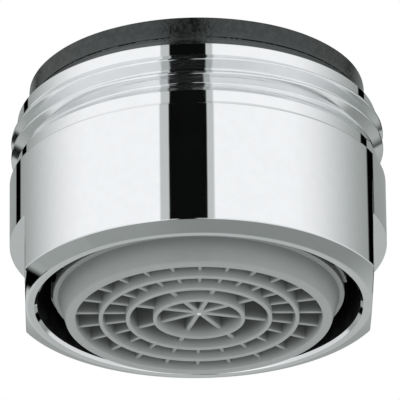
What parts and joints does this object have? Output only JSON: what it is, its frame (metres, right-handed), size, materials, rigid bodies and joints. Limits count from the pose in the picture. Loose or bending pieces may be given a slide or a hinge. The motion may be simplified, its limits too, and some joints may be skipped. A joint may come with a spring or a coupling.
{
  "type": "tap aerator",
  "caption": "Male-thread tap aerator: chromed round housing with wrench flats, flat rubber washer and a plastic insert with a ringed outlet grille that mixes air into the water jet.",
  "frame": {"origin": "centre of the outlet rim, the lowest face, on the axis of the thread", "axes": "+Z along the thread axis toward the tap, X across the two wrench flats"},
  "size_m": [0.024, 0.024, 0.0161],
  "materials": {
    "chrome_plate": "polished chrome plate over brass",
    "black_rubber": "matt moulded rubber",
    "grey_plastic": "satin moulded acetal",
    "white_plastic": "satin moulded acetal"
  },
  "bodies": {
    "root": {"housing": "chrome_plate", "sealing_washer": "black_rubber", "insert_body": "grey_plastic", "outlet_casing": "grey_plastic", "jet_disperser": "white_plastic", "inlet_strainer": "white_plastic", "upper_grid": "grey_plastic", "lower_grid": "grey_plastic"}
  },
  "joints": []
}
